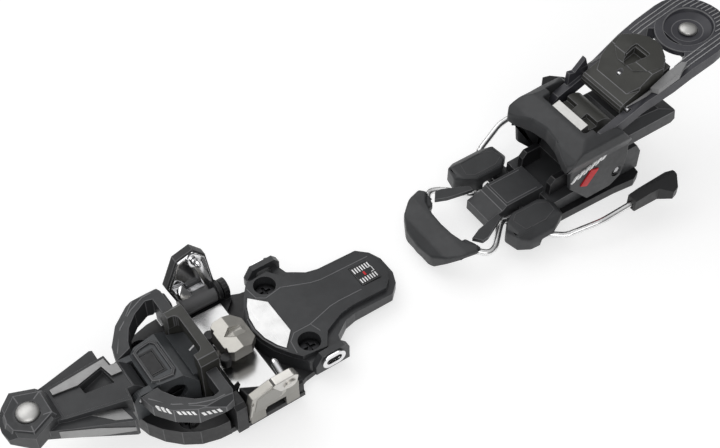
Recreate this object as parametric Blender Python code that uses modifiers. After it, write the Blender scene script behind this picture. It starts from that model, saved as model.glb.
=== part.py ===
"""An alpine touring pin binding: a toe unit with two pin arms and a heel unit with a ski brake.

X points to the ski's tip, Y to its left edge and Z up from its top sheet. The origin is on the
underside of the toe unit, below its pins. Sizes in this file are in millimetres, and the
helpers turn them into metres. The binding is open: the pin arms lean outwards, the heel lever
is up in its downhill place and the brake is stowed.
"""

import math

import bmesh
import bpy
from mathutils import Matrix, Vector

MM = 0.001
GAP = 0.3  # between pieces that touch on the real binding

# Toe unit
BASE_FLOOR = 4.0
BASE_TOP = 12.0
BASE_SCREW = (45.0, 26.5)
HOUSING_TOP = 33.8
BRIDGE_FRONT, BRIDGE_REAR = 32.0, 21.5
BRIDGE_HALF_WIDTH = 20.5
BRIDGE_TOP = 43.0
LEVER_HINGE = (62.0, 27.0)  # x, z
CAP_CENTRE = (114.5, 0.0)
PLATE_BOTTOM = BASE_FLOOR + GAP
REAR_SCREW = (-30.0, 22.5)
TONGUE_END = -96.0
TONGUE_HALF_WIDTH = 18.5
CARRIER_TOP = 7.6
ARM_HINGE = (37.0, 12.5)  # y, z
ARM_FRONT, ARM_REAR = 20.0, -10.0
ARM_TOP = 42.0
PIN_TIP = (36.0, 40.0)  # y, z
PIN_TILT = math.radians(18)  # the pins lie level once the arms have closed by this much
PIN_RADIUS = 2.0
AXLE_RADIUS = 2.0
SHANK_RADIUS = 2.0  # of the mounting screws
LUG_OUTER = 37.5
LUG_HEIGHT = 13.0
LUG_SLOT_RADIUS, EYELET_RADIUS = 2.2, 4.6
TOE_SPRING = (45.0, 21.5)  # x, z

# Heel unit
TRACK_TOP = 6.0
CHANNEL_FRONT, CHANNEL_REAR = -160.0, -198.0
CHANNEL_HALF_WIDTH = 10.0
CHANNEL_TOP = 20.0
PAD_TOP = 21.5
CARRIAGE_HALF_WIDTH = 20.5
JAW_HINGE = (-243.0, 20.0)  # x, z
JAW_INNER = 22.8
LEVER_AXIS = (-232.0, 46.0)  # x, z, of the heel lever
RAIL_OUTER, RAIL_INNER = 22.2, 17.0
LEVER_END_CENTRE = -306.0
LEVER_END_RADIUS = 25.5
RISER_AXIS = (-249.0, 61.0)  # x, z, of the climbing aid
RIVET = (-257.5, 70.0)  # x, z
BRAKE_AXIS = (-183.0, 11.0)  # x, z
WIRE_RADIUS = 1.9
HEEL_AXLE_RADIUS = 2.5
RISER_AXLE_RADIUS = 1.5
SPRING_AXIS_HEIGHT = 36.0

PLANES = {
    "XY": Matrix.Identity(4),
    "XZ": Matrix.Rotation(math.pi / 2, 4, "X"),
    "YZ": Matrix(((0, 0, 1, 0), (1, 0, 0, 0), (0, 1, 0, 0), (0, 0, 0, 1))),
}
ACROSS = {"XY": Vector((0, 0, 1)), "XZ": Vector((0, 1, 0)), "YZ": Vector((1, 0, 0))}

MATERIALS = {  # colour, roughness, metallic
    "graphite plastic": ((0.045, 0.046, 0.048), 0.5, 0.0),
    "black plastic": ((0.018, 0.018, 0.019), 0.45, 0.0),
    "olive plastic": ((0.055, 0.054, 0.045), 0.5, 0.0),
    "bluish plastic": ((0.09, 0.09, 0.115), 0.42, 0.0),
    "light grey plastic": ((0.30, 0.30, 0.30), 0.45, 0.0),
    "carbon composite": ((0.05, 0.051, 0.053), 0.42, 0.0),
    "cast alloy": ((0.62, 0.60, 0.57), 0.35, 1.0),
    "polished steel": ((0.75, 0.75, 0.76), 0.12, 1.0),
    "spring steel": ((0.55, 0.55, 0.56), 0.25, 1.0),
    "black steel": ((0.02, 0.02, 0.02), 0.35, 0.6),
    "brushed metal": ((0.60, 0.60, 0.61), 0.3, 1.0),
}


def clear_scene():
    for item in list(bpy.data.objects):
        bpy.data.objects.remove(item)


def new_collection(name):
    group = bpy.data.collections.new(name)
    bpy.context.scene.collection.children.link(group)
    return group


clear_scene()
PARTS = new_collection("touring_binding")
CUTTERS = new_collection("cutters")
CUTTERS.hide_render = True


# Shapes


def mirrored(half):
    """A half outline at positive second coordinate, closed by its mirror image."""
    return half + [(a, -b) for a, b in reversed(half) if b != 0]


def sided(points, side):
    """An outline from above, on the left (1) or the right (-1)."""
    return [(x, y * side) for x, y in points]


def seen_from_front(points, side):
    """An outline from the front, on the left (1) or the right (-1)."""
    return [(y * side, z) for y, z in points]


def mirrored_front(half):
    """A half outline from the front, at positive Y, closed by its mirror image."""
    return half + [(-y, z) for y, z in reversed(half) if y != 0]


def arc(centre, radius, start, end, steps):
    """Points on an arc, its angles in degrees."""
    found = []
    for step in range(steps + 1):
        angle = math.radians(start + (end - start) * step / steps)
        found.append((centre[0] + radius * math.cos(angle), centre[1] + radius * math.sin(angle)))
    return found


def box_outline(a0, b0, a1, b1):
    return [(a0, b0), (a1, b0), (a1, b1), (a0, b1)]


def as_mesh(guide):
    """The evaluated curve as a closed mesh object in the same place."""
    name = guide.name
    place = guide.matrix_world.copy()
    bpy.context.scene.collection.objects.link(guide)
    bpy.context.view_layer.update()
    graph = bpy.context.evaluated_depsgraph_get()
    mesh = bpy.data.meshes.new_from_object(guide.evaluated_get(graph))
    bpy.data.objects.remove(guide)
    shape = bmesh.new()
    shape.from_mesh(mesh)
    bmesh.ops.remove_doubles(shape, verts=shape.verts, dist=1e-6)
    bmesh.ops.recalc_face_normals(shape, faces=shape.faces)
    shape.to_mesh(mesh)
    shape.free()
    solid = bpy.data.objects.new(name, mesh)
    solid.matrix_world = place
    return solid


def outline(name, points, low, high, plane="XY", holes=()):
    """A flat outline, less its holes, extruded from low to high across its plane."""
    curve = bpy.data.curves.new(name, "CURVE")
    curve.dimensions = "2D"
    curve.fill_mode = "BOTH"
    curve.extrude = (high - low) / 2 * MM
    for loop in (points, *holes):
        spline = curve.splines.new("POLY")
        spline.points.add(len(loop) - 1)
        for point, (a, b) in zip(spline.points, loop):
            point.co = (a * MM, b * MM, 0, 1)
        spline.use_cyclic_u = True
    guide = bpy.data.objects.new(name, curve)
    middle = (low + high) / 2 * MM
    guide.matrix_world = Matrix.Translation(ACROSS[plane] * middle) @ PLANES[plane]
    return as_mesh(guide)


def wire(name, points, radius):
    curve = bpy.data.curves.new(name, "CURVE")
    curve.dimensions = "3D"
    curve.bevel_depth = radius * MM
    curve.bevel_resolution = 2
    curve.use_fill_caps = True
    spline = curve.splines.new("POLY")
    spline.points.add(len(points) - 1)
    for point, place in zip(spline.points, points):
        point.co = (*(Vector(place) * MM), 1)
    return as_mesh(bpy.data.objects.new(name, curve))


def bent(points, radius, steps=4):
    """A route with each inner corner rounded over the given distance on both sides."""
    route = [Vector(points[0])]
    for before, corner, after in zip(points, points[1:], points[2:]):
        corner = Vector(corner)
        start = corner + (Vector(before) - corner).normalized() * radius
        end = corner + (Vector(after) - corner).normalized() * radius
        for step in range(steps + 1):
            t = step / steps
            route.append(start * (1 - t) ** 2 + corner * 2 * t * (1 - t) + end * t**2)
    return route + [Vector(points[-1])]


def rod(name, start, end, radius, end_radius=None, segments=24):
    start, end = Vector(start) * MM, Vector(end) * MM
    turn = (end - start).to_track_quat("Z", "Y").to_matrix().to_4x4()
    mesh = bpy.data.meshes.new(name)
    shape = bmesh.new()
    bmesh.ops.create_cone(
        shape,
        cap_ends=True,
        segments=segments,
        radius1=radius * MM,
        radius2=(radius if end_radius is None else end_radius) * MM,
        depth=(end - start).length,
        matrix=Matrix.Translation((start + end) / 2) @ turn,
    )
    shape.to_mesh(mesh)
    shape.free()
    return bpy.data.objects.new(name, mesh)


def cross_bore(place, radius, reach=40):
    """A cutter right across the binding, at a place given as x, z."""
    x, z = place
    return rod("bore", (x, -reach, z), (x, reach, z), radius)


def turned(name, profile, foot, direction, steps=24):
    """A profile of (radius, height), top to bottom, turned about the direction from its foot."""
    mesh = bpy.data.meshes.new(name)
    points = [(radius * MM, 0, height * MM) for radius, height in profile]
    mesh.from_pydata(points, [(i, i + 1) for i in range(len(points) - 1)], [])
    solid = bpy.data.objects.new(name, mesh)
    screw = solid.modifiers.new("Screw", "SCREW")
    screw.steps = steps
    screw.render_steps = steps
    screw.use_merge_vertices = True
    screw.merge_threshold = 1e-5
    turn = Vector(direction).to_track_quat("Z", "Y").to_matrix().to_4x4()
    solid.matrix_world = Matrix.Translation(Vector(foot) * MM) @ turn
    return solid


def dome(name, radius, height, foot):
    """A low dome with a short rim, standing on its foot."""
    crown = [(radius * math.cos(a), height * math.sin(a)) for a in (1.2, 0.8, 0.4, 0.0)]
    profile = [(0, height + 1)] + [(r, h + 1) for r, h in crown] + [(radius, 0), (0, 0)]
    return turned(name, profile, foot, (0, 0, 1))


def change(solid, operation, others):
    """Adds a Boolean for each of the other shapes, which become hidden helpers."""
    for other in others:
        CUTTERS.objects.link(other)
        other.hide_render = True
        other.display_type = "WIRE"
        boolean = solid.modifiers.new(operation.title(), "BOOLEAN")
        boolean.operation = operation
        boolean.solver = "EXACT"
        boolean.object = other
    return solid


def cut(solid, *cutters):
    return change(solid, "DIFFERENCE", cutters)


def join(solid, *others):
    return change(solid, "UNION", others)


def faceted(name, plan, side, height=(-20, 120), half_width=70, front=None):
    """The solid that has the given outlines from above, from the side and from the front."""
    solid = outline(name, plan, *height)
    limits = [outline(f"{name} side", side, -half_width, half_width, "XZ")]
    if front:
        limits.append(outline(f"{name} front", front, -360, 160, "YZ"))
    return change(solid, "INTERSECT", limits)


def finish(solid, material, axis=None):
    """Names the material, puts the piece in the parts and hangs it on its joint's empty."""
    if material not in bpy.data.materials:
        colour, roughness, metallic = MATERIALS[material]
        made = bpy.data.materials.new(material)
        made.use_nodes = True
        shader = made.node_tree.nodes["Principled BSDF"]
        shader.inputs["Base Color"].default_value = (*colour, 1)
        shader.inputs["Roughness"].default_value = roughness
        shader.inputs["Metallic"].default_value = metallic
        made.diffuse_color = (*colour, 1)
    solid.data.materials.append(bpy.data.materials[material])
    PARTS.objects.link(solid)
    if axis:
        solid.parent = axis
        solid.matrix_parent_inverse = axis.matrix_world.inverted()


def joint(name, place, parent=None):
    """An empty on a joint's axis, on which the moving pieces hang."""
    empty = bpy.data.objects.new(name, None)
    empty.matrix_world = Matrix.Translation(Vector(place) * MM)
    empty.empty_display_size = 0.01
    PARTS.objects.link(empty)
    bpy.context.view_layer.update()
    if parent:
        empty.parent = parent
        empty.matrix_parent_inverse = parent.matrix_world.inverted()
        bpy.context.view_layer.update()
    return empty


SIDES = {"left": 1, "right": -1}


# Toe unit: fixed pieces


def screw_head(name, place, radius, top, bottom):
    """A countersunk-looking screw head with a cross recess, on its shank."""
    x, y = place
    shank = rod(name, (x, y, bottom), (x, y, top - 2), SHANK_RADIUS)
    head = rod(f"{name} head", (x, y, top - 2.8), (x, y, top), radius * 0.75, radius)
    bars = [
        outline(f"{name} bar", box_outline(x - a, y - b, x + a, y + b), top - 1.4, top + 1)
        for a, b in ((radius * 0.6, 0.7), (0.7, radius * 0.6))
    ]
    return cut(join(shank, head), *bars)


def toe_base():
    nose = [(66, 0), (66, 9), (64, 16), (59, 24), (52, 31), (44, 36), (35, 38.5)]
    floor = mirrored(nose + [(12, 39.5), (-8, 39), (-20, 34), (-48, 30), (-50, 0)])
    body = mirrored(nose + [(28.5, 39), (28.5, 13.6), (20, 13.6), (20, 0)])
    base = join(
        outline("toe_base", floor, 0, BASE_FLOOR),
        outline("toe base body", body, 0, BASE_TOP),
    )
    rear_x, rear_y = REAR_SCREW
    for side in SIDES.values():
        x, y = BASE_SCREW[0], BASE_SCREW[1] * side
        cut(
            base,
            rod("pocket", (x, y, 6.5), (x, y, 20), 5.6),
            rod("screw hole", (x, y, -1), (x, y, 10), SHANK_RADIUS + GAP),
            rod("screw hole", (rear_x, rear_y * side, -1), (rear_x, rear_y * side, 10),
                SHANK_RADIUS + GAP),
        )
    return base


def rear_plate():
    """The boot rest: a curved front edge, a raised panel and the long tongue to the rear."""
    front = [(-8, 0), (-9.5, 8), (-12.5, 16), (-17.5, 24), (-24, 32), (-27, 34)]
    rim = front + [
        (-44, 33.5), (-46, 26), (-55, 20), (-62, TONGUE_HALF_WIDTH), (-87, TONGUE_HALF_WIDTH),
        (-93, 13), (TONGUE_END, 6), (TONGUE_END, 0),
    ]
    panel = [
        (-8.5, 0), (-10, 8), (-13, 16), (-18, 24), (-22, 29), (-36, 30.5), (-42, 22), (-54, 16.5),
        (-63, 15), (-85, 15), (-90, 10.5), (-92.5, 5), (-92.5, 0),
    ]
    plate = faceted(
        "toe_rear_plate", mirrored(rim),
        [(-5, PLATE_BOTTOM), (-5, 13), (-50, 12.5), (-98, 10), (-98, PLATE_BOTTOM)],
    )
    top = faceted(
        "panel", mirrored(panel),
        [(-5, PLATE_BOTTOM + 1), (-5, 16.5), (-45, 15.5), (-98, 13), (-98, PLATE_BOTTOM + 1)],
    )
    lugs = [
        outline(
            "lug",
            [(-25, PLATE_BOTTOM + 1), (-25, 12), (-29, 18.5), (-43, 18.5), (-46, 15),
             (-46, PLATE_BOTTOM + 1)],
            *sorted((33 * side, (LUG_OUTER - 0.8) * side)), "XZ",
        )
        for side in SIDES.values()
    ]
    join(plate, top, *lugs)
    for side in SIDES.values():
        x, y = REAR_SCREW[0], REAR_SCREW[1] * side
        cut(
            plate,
            rod("counterbore", (x, y, 7), (x, y, 30), 6.3),
            rod("screw hole", (x, y, 0), (x, y, 10), SHANK_RADIUS + GAP),
            outline("slot", slot_outline(), *sorted((30 * side, 45 * side)), "XZ"),
        )
    badge_seat = outline("badge seat", badge_outline(0.3), 15.0, 20)
    scale_seat = outline("scale seat", scale_outline(GAP), 13.2, 20)
    return cut(plate, badge_seat, scale_seat)


def slot_outline(radius=LUG_SLOT_RADIUS, steps=8):
    """The oval hole of a side lug, from the side."""
    return (arc((-38, LUG_HEIGHT), radius, 90, 270, steps)
            + arc((-33, LUG_HEIGHT), radius, -90, 90, steps))


def scale_outline(grow=0.0):
    """The inset on the tongue for the scale."""
    front, rear, half = -75 + grow, -87 - grow, 7 + grow
    return mirrored([(front, 0), (front, half), (rear, half), (rear, 0)])


def badge_outline(grow=0.0):
    """The badge behind the curved edge, blank, with its points at the sides."""
    return mirrored([
        (-10.5 + grow, 0), (-11.5 + grow, 8), (-14.5 + grow, 15.5), (-17.5, 20 + grow),
        (-25.5 - grow, 11.5), (-25.5 - grow, 0),
    ])


def eyelet(side):
    """The bright insert round a side lug's oval hole."""
    low, high = sorted(((LUG_OUTER - 0.5) * side, (LUG_OUTER + 0.7) * side))
    rim = slot_outline(EYELET_RADIUS, 10)
    return outline("eyelet", rim, low, high, "XZ", holes=[slot_outline()])


def toe_housing():
    """The block that carries the front lever and holds the release spring."""
    plan = mirrored([(56.4, 0), (56.4, 11.8), (52, 13.7), (40, 15.5), (33, 18.5), (33, 0)])
    side = [(33, BASE_TOP + GAP), (33, 27), (40, HOUSING_TOP), (53, HOUSING_TOP), (56.4, 31),
            (56.4, BASE_TOP + GAP)]
    housing = faceted("toe_housing", plan, side)
    nose = outline("nose", box_outline(50, BASE_TOP + GAP, 65, 19.5), -12.8, 12.8, "XZ")
    ear = ([(55, BASE_TOP + GAP), (55, 31)] + arc(LEVER_HINGE, 4.6, 90, 0, 6)
           + [(LEVER_HINGE[0] + 4.6, BASE_TOP + GAP)])
    ears = [
        outline("ear", ear, *sorted((9 * side, 12.8 * side)), "XZ") for side in SIDES.values()
    ]
    slope = [(20.5, BASE_TOP + GAP), (20.5, 22.5), (34, 29), (34, BASE_TOP + GAP)]
    tail = outline("tail", slope, -14.5, 14.5, "XZ")
    join(housing, nose, tail, *ears)
    return cut(
        housing,
        cross_bore(LEVER_HINGE, AXLE_RADIUS + GAP),
        cross_bore(TOE_SPRING, 6.3),
        outline("window seat", box_outline(45.7, -6.8, 53.8, 6.8), HOUSING_TOP - 1.2, 40),
    )


def guard_loop(side):
    """A raised frame beside the housing that guides the boot's toe."""
    outer = [(63, 13.1), (61, 22), (54, 31), (44, 38), (31, 42.5), (26, 41.5), (24, 37), (24, 20.8)]
    inner = [(30, 20.8), (30, 34.5), (34, 35.5), (42, 31.5), (49, 25), (53, 18), (54, 14.5)]
    front = [(12, 22), (12, 35), (33, 35), (39, 36), (43, 31), (43, 28), (37, 22)]
    side_view = [
        (20, 26.8), (20, 35), (36, 36.5), (54, 34), (64, 30.5), (64, 24), (31, 22), (27.5, 26.8),
    ]
    return faceted("loop", sided(outer + inner, side), side_view, front=seen_from_front(front, side))


def toe_bridge():
    half = BRIDGE_HALF_WIDTH
    arch = [
        (-half, BASE_TOP + GAP), (-half, BRIDGE_TOP - 3), (-half + 3, BRIDGE_TOP),
        (half - 3, BRIDGE_TOP), (half, BRIDGE_TOP - 3), (half, BASE_TOP + GAP),
        (half - 5.5, BASE_TOP + GAP),
        (half - 5.5, BRIDGE_TOP - 11), (half - 8, BRIDGE_TOP - 8), (8 - half, BRIDGE_TOP - 8),
        (5.5 - half, BRIDGE_TOP - 11), (5.5 - half, BASE_TOP + GAP),
    ]
    bridge = outline("toe_bridge", arch, BRIDGE_REAR, BRIDGE_FRONT, "YZ")
    bar_front = BRIDGE_REAR + 5.3
    corner = 3.0
    side = half - 7
    opening = mirrored(
        [(BRIDGE_FRONT + 8, side)] + arc((bar_front + corner, side - corner), corner, 90, 180, 4)
    )
    return cut(bridge, outline("front opening", opening, 30, 50))


def coil(name, start, end, radius, wire_radius, turns):
    """A compression spring as one wire."""
    start, end = Vector(start), Vector(end)
    along = (end - start).normalized()
    first = along.orthogonal().normalized()
    second = along.cross(first)
    steps = turns * 10
    points = []
    for step in range(steps + 1):
        angle = 2 * math.pi * turns * step / steps
        centre = start.lerp(end, step / steps)
        points.append(centre + (first * math.cos(angle) + second * math.sin(angle)) * radius)
    return wire(name, points, wire_radius)


def build_toe_fixed():
    finish(toe_base(), "black plastic")
    finish(rear_plate(), "carbon composite")
    finish(outline("toe_badge", badge_outline(), 15.3, 16.6), "brushed metal")
    finish(outline("toe_scale", scale_outline(), 13.5, 14.4), "black plastic")
    for name, side in SIDES.items():
        rear = screw_head("screw", (REAR_SCREW[0], REAR_SCREW[1] * side), 5.6, 10.4, 0.5)
        rear.name = f"toe_rear_screw_{name}"
        finish(rear, "black steel")
        front = screw_head("screw", (BASE_SCREW[0], BASE_SCREW[1] * side), 4.9, 9.8, 0.5)
        front.name = f"toe_front_screw_{name}"
        finish(front, "black steel")
        insert = eyelet(side)
        insert.name = f"lug_eyelet_{name}"
        finish(insert, "polished steel")
        loop = guard_loop(side)
        loop.name = f"guard_loop_{name}"
        finish(loop, "graphite plastic")
    finish(toe_housing(), "graphite plastic")
    finish(toe_bridge(), "olive plastic")
    window = box_outline(46, -6.5, 53.5, 6.5)
    finish(outline("mode_window", window, HOUSING_TOP - 0.9, HOUSING_TOP + 0.1), "black plastic")
    x, z = TOE_SPRING
    finish(coil("toe_spring", (x, -10, z), (x, 9, z), 4.4, 0.8, 5), "spring steel")
    cap = turned(
        "toe_release_screw",
        [(0, 3.5), (5.2, 3.5), (5.9, 2.8), (5.9, 0), (0, 0)], (x, 10.4, z), (0, 1, 0),
    )
    cut(cap, outline("slot", box_outline(x - 4.5, z - 0.7, x + 4.5, z + 0.7), 12.6, 20, "XZ"))
    finish(cap, "black steel")


# Toe unit: moving pieces


def front_lever():
    """The A-shaped lever: a spine, two flanks and a hexagonal cap."""
    hinge_x = LEVER_HINGE[0]
    spine = faceted(
        "front_lever",
        mirrored([(112, 0), (112, 8), (100, 10.5), (68, 15.5), (67.3, 8.6), (57, 8.6), (57, 0)]),
        arc(LEVER_HINGE, 5, 150, 270, 6) + [(69, 26), (112, 36), (112, 44), (100, 41.5),
                                           (hinge_x + 1.5, 36.7), (hinge_x - 1, 34)],
    )
    flanks = faceted(
        "flanks",
        mirrored([(114, 0), (114, 11), (104, 14), (72, 25), (70.5, 24.5), (70.5, 17), (90, 9),
                  (90, 0)]),
        [(70.5, 20), (118, 37), (118, 43), (100, 38.5), (70.5, 33)],
    )
    cap = faceted(
        "cap",
        mirrored([(129, 0), (128, 6.5), (117.5, 15.5), (101.5, 8.5), (101.5, 0)]),
        [(101.5, 37), (120, 36.5), (128, 38.5), (129, 41), (124, 45.5), (106, 46.5), (101.5, 42)],
    )
    join(spine, flanks, cap)
    pocket = outline("pocket", lever_pocket(), 33.5, 50)
    seat = rod("button seat", (*CAP_CENTRE, 45.2), (*CAP_CENTRE, 60), 6.3, segments=32)
    bore = cross_bore(LEVER_HINGE, AXLE_RADIUS + GAP)
    inlay_seat = faceted(
        "inlay seat",
        mirrored([(100.3, 0), (100.3, 8.8), (68.6, 13.8), (68, 8.2), (64, 8.2), (64, 0)]),
        [(62, 35.92), (101, 41.2), (101, 60), (62, 60)],
    )
    return cut(spine, pocket, seat, bore, inlay_seat)


def lever_pocket():
    """The deep pocket in the lever's spine, towards its right side."""
    return [(86.5, -4.3), (72.5, -8.8), (70.5, 2), (86, 1)]


def lever_inlay():
    """The bright plate on the right of the lever's spine, round the pocket's end."""
    plan = [
        (100, -8.4), (100, -4.8), (87, -4.2), (72.2, -9.1), (70.3, -1.5), (64.4, -1.5),
        (64.4, -7.9), (68.3, -7.9), (68.9, -13.4),
    ]
    side = [(62.5, 36.33), (102, 41.65), (102, 42.8), (62.5, 37.48)]
    return faceted("lever_inlay", plan, side)


def build_front_lever(toe):
    axis = joint("front_lever_axis", (LEVER_HINGE[0], 0, LEVER_HINGE[1]), toe)
    finish(front_lever(), "graphite plastic", axis)
    finish(lever_inlay(), "brushed metal", axis)
    finish(dome("lever_button", 5.9, 2.2, (*CAP_CENTRE, 45.5)), "polished steel", axis)
    x, z = LEVER_HINGE
    finish(rod("lever_axle", (x, -12.6, z), (x, 12.6, z), AXLE_RADIUS), "spring steel", axis)


def slide_carrier():
    """The block that slides across the ski, with an end block and a rear ear for each arm."""
    y, z = ARM_HINGE
    floor = mirrored([
        (-7.3, 0), (-7.3, 25), (-13.9, 31), (-13.9, 43), (26, 43), (26, 24), (16, 24), (16, 0),
    ])
    carrier = outline("slide_carrier", floor, BASE_FLOOR + GAP, CARRIER_TOP)
    for side in SIDES.values():
        end = [(31, 4.5), (43.5, 4.5), (43.5, 24), (41, 26), (33.5, 26), (31, 22)]
        ear = [(32, 4.5), (42.5, 4.5)] + arc(ARM_HINGE, 5.2, 0, 180, 8)
        fin = [(16.8, 5), (21, 5), (21, 12), (19, 17), (15, 19.5), (17.2, 14), (16.8, 10.5)]
        join(
            carrier,
            outline("end block", seen_from_front(end, side), 20.5, 26.5, "YZ"),
            outline("ear", seen_from_front(ear, side), -13.7, -10.5, "YZ"),
            outline("fin", fin, *sorted((25 * side, 27.6 * side)), "XZ"),
        )
        cut(carrier, rod("bore", (-12.5, y * side, z), (24.5, y * side, z), AXLE_RADIUS + GAP))
    return carrier


def slide_plate():
    return outline("slide_plate", box_outline(-6, -30, 15.5, 30), CARRIER_TOP + GAP, 10)


def trigger():
    """The pedal between the arms that the boot's toe presses."""
    plan = mirrored([
        (13.5, 0), (13.5, 5), (10.5, 6.5), (11, 9.5), (8.5, 11.5), (-2, 11.5), (-6.5, 7), (-7.3, 0),
    ])
    side = [(-7.3, 16), (-6.5, 21.5), (3, 24.5), (11.5, 23), (13.5, 19), (12.5, 15.5)]
    pedal = faceted("trigger", plan, side)
    recess = outline("recess", mirrored([(8, 0), (3.5, 3.6), (-4.5, 2.6), (-4.5, 0)]), 22.6, 40)
    stem = rod("stem", (2, 0, 14.4), (2, 0, 18), 6)
    return cut(join(pedal, stem), recess)


def pin_arm(side):
    """A cast arm, leaning out in the open binding, with its lower cheek and inner web."""
    hinge_y, hinge_z = ARM_HINGE
    front = [(33.5, 9.2), (45.5, 8), (46.6, 26), (50, 40), (49, ARM_TOP), (45.6, ARM_TOP),
             (40.5, 22), (33.5, 17)]
    plan = box_outline(ARM_REAR, 30, ARM_FRONT, 55)
    outline_side = [
        (ARM_REAR, 8), (ARM_REAR, 15), (-7, 24), (-6.5, 38), (-3, ARM_TOP), (7, ARM_TOP), (10.5, 40),
        (ARM_FRONT, 27), (ARM_FRONT, 8),
    ]
    arm = faceted("arm", sided(plan, side), outline_side, front=seen_from_front(front, side))
    y = hinge_y * side
    notch = outline("notch", box_outline(-2, 0, 8, 11), *sorted((42.5 * side, 50 * side)), "XZ")
    hollow = [(11, 13), (17, 13), (17, 25), (11, 31)]
    relief = outline("relief", hollow, *sorted((30 * side, 43.2 * side)), "XZ")
    cut(
        arm,
        rod("bore", (-20, y, hinge_z), (30, y, hinge_z), AXLE_RADIUS + GAP),
        rod("pin bore", *pin_ends(side, 16), PIN_RADIUS + GAP),
        notch,
        relief,
    )
    return arm


def pin_ends(side, length):
    """The pin's outer end, at this length from its tip, and its tip."""
    y, z = PIN_TIP
    outer = (0, (y + length * math.cos(PIN_TILT)) * side, z - length * math.sin(PIN_TILT))
    return outer, (0, y * side, z)


def toe_pin(side):
    outer, tip = pin_ends(side, 11.5)
    direction = Vector(tip) - Vector(outer)
    profile = [(0, 11.5), (0.9, 11.3), (1.6, 10.2), (PIN_RADIUS, 8.6), (PIN_RADIUS, 0), (0, 0)]
    return turned("pin", profile, outer, direction, 20)


def build_toe_slide(toe):
    carriage = joint("toe_slide_axis", (0, 0, CARRIER_TOP), toe)
    finish(slide_carrier(), "black plastic", carriage)
    finish(slide_plate(), "polished steel", carriage)
    press = joint("trigger_axis", (2, 0, 20), carriage)
    finish(trigger(), "cast alloy", press)
    y, z = ARM_HINGE
    for name, side in SIDES.items():
        axis = joint(f"arm_axis_{name}", (0, y * side, z), carriage)
        arm = pin_arm(side)
        arm.name = f"arm_{name}"
        finish(arm, "cast alloy", axis)
        pin = toe_pin(side)
        pin.name = f"toe_pin_{name}"
        finish(pin, "polished steel", axis)
        axle = rod("axle", (-12.2, y * side, z), (24.2, y * side, z), AXLE_RADIUS)
        axle.name = f"arm_axle_{name}"
        finish(axle, "spring steel", carriage)


# Heel unit: track, carriage and brake


def heel_base():
    """The track that is screwed to the ski, with a groove down its middle."""
    plan = mirrored([
        (-176, 0), (-176, 18), (-196, 24), (-244, 25.5), (-258, 27), (-264, 24), (-266, 14),
        (-266, 0),
    ])
    base = outline("heel_base", plan, 0, TRACK_TOP)
    return cut(base, outline("groove", box_outline(-256, -5, -186, 5), 3, 20))


def heel_carriage():
    """The sliding body: the front channel, the shelves under the pads and the rear block."""
    low = TRACK_TOP + GAP
    body = [
        (CHANNEL_REAR, low), (CHANNEL_REAR, 15), (-222, 16), (-230, 26.7), (-262, 26.7), (-266, 20),
        (-266, low),
    ]
    channel = [
        (CHANNEL_FRONT, 8), (CHANNEL_FRONT, 15), (-170, 17.5), (-173, CHANNEL_TOP),
        (CHANNEL_REAR - 2, CHANNEL_TOP), (CHANNEL_REAR - 2, low), (-168, low),
    ]
    carriage = outline("heel_carriage", body, -CARRIAGE_HALF_WIDTH, CARRIAGE_HALF_WIDTH, "XZ")
    shelf = mirrored([(-187, 0), (-187, 28), (-199, 26), (-199, 0)])
    guide = outline("guide", box_outline(-230, -4.6, -200, 4.6), 3.4, 8)
    join(
        carriage,
        outline("channel", channel, -CHANNEL_HALF_WIDTH, CHANNEL_HALF_WIDTH, "XZ"),
        outline("shelf", shelf, low, 8.8),
        guide,
    )
    return cut(
        carriage,
        cross_bore(JAW_HINGE, HEEL_AXLE_RADIUS + GAP),
        cross_bore(BRAKE_AXIS, 2.4),
        rod("length screw bore", (-240, 13, 13), (-280, 13, 13), 3.6),
    )


def heel_pad(side):
    """The rest beside the channel, with a sloping outer skirt."""
    plan = [
        (-161, 24), (-163, 33), (-170, 37), (-184, 38), (-196, 32), (-198.5, 22.5), (-190, 15.6),
        (-172, 15.6), (-164, 20.5),
    ]
    front = [
        (15, 9.2), (15, PAD_TOP - 1), (18, PAD_TOP), (31, PAD_TOP), (36, 18), (38, 12), (38, 9.2),
    ]
    side_view = [
        (-160, 9.2), (-160, 19), (-164, PAD_TOP), (-194, PAD_TOP), (-199, 18), (-199, 9.2),
    ]
    pad = faceted("pad", sided(plan, side), side_view, front=seen_from_front(front, side))
    tunnel = [(-177, 5), (-177, 13.6), (-189, 13.6), (-200, 12.6), (-200, 5)]
    return cut(pad, outline("tunnel", tunnel, *sorted((10 * side, 45 * side)), "XZ"))


def power_rail(side):
    """A post that guides the boot's heel in front of the jaw."""
    profile = [(-201, 20.4), (-201, 24), (-204, 27.5), (-214, 27.5), (-215.5, 22), (-215.5, 16.3),
               (-201, 15.5)]
    return outline("rail", profile, *sorted((10.8 * side, 14.6 * side)), "XZ")


def spring_housing():
    side = [
        (-246, 27), (-246, 43), (-251, 46.5), (-278, 45), (-289, 41), (-290.5, 33), (-284, 28),
        (-276, 27),
    ]
    front = mirrored_front([(13, 26), (20.5, 31), (20.5, 40), (15, 47.5), (0, 47.5)])
    body = faceted("spring_housing", box_outline(-291, -21, -246, 21), side, front=front)
    z = SPRING_AXIS_HEIGHT
    return cut(body, rod("spring bore", (-250, 0, z), (-300, 0, z), 7.6))


def brake_wire_route(side):
    """From the pedal back under the pad, out along the hinge and along the ski's edge."""
    x, z = BRAKE_AXIS
    route = [
        (-139, 21, 15), (-146, 28.5, 14.5), (-152, 26.5, 14), (-166, 13.6, 13.5), (-171, 12.6, 12.5),
        (x, 12.6, z), (x, 33, z), (-193, 40.5, 10.5), (-213, 47, 16), (-240, 48.5, 19.5),
    ]
    return [(a, b * side, c) for a, b, c in route]


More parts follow.
